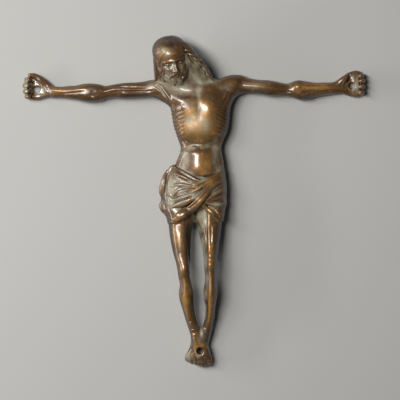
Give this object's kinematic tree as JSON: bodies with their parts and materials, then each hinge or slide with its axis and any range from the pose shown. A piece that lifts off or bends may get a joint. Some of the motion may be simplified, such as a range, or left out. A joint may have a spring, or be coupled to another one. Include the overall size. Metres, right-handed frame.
{
  "type": "crucifix corpus figure",
  "caption": "Small cast bronze figure with outstretched arms, bowed head, loincloth and crossed feet, pierced for nails and flat at the back.",
  "frame": {"origin": "under the middle of the figure's box, in the plane of its filed back", "axes": "+X along the arms to the figure's left hand, +Y to the crown of the head, +Z out of the front of the figure as it lies on its back"},
  "size_m": [0.1718, 0.165, 0.0254],
  "materials": {
    "cast_bronze": "dark brown patina, rubbed golden brown on the raised forms, polished by handling"
  },
  "bodies": {
    "root": {"corpus": "cast_bronze"}
  },
  "joints": []
}
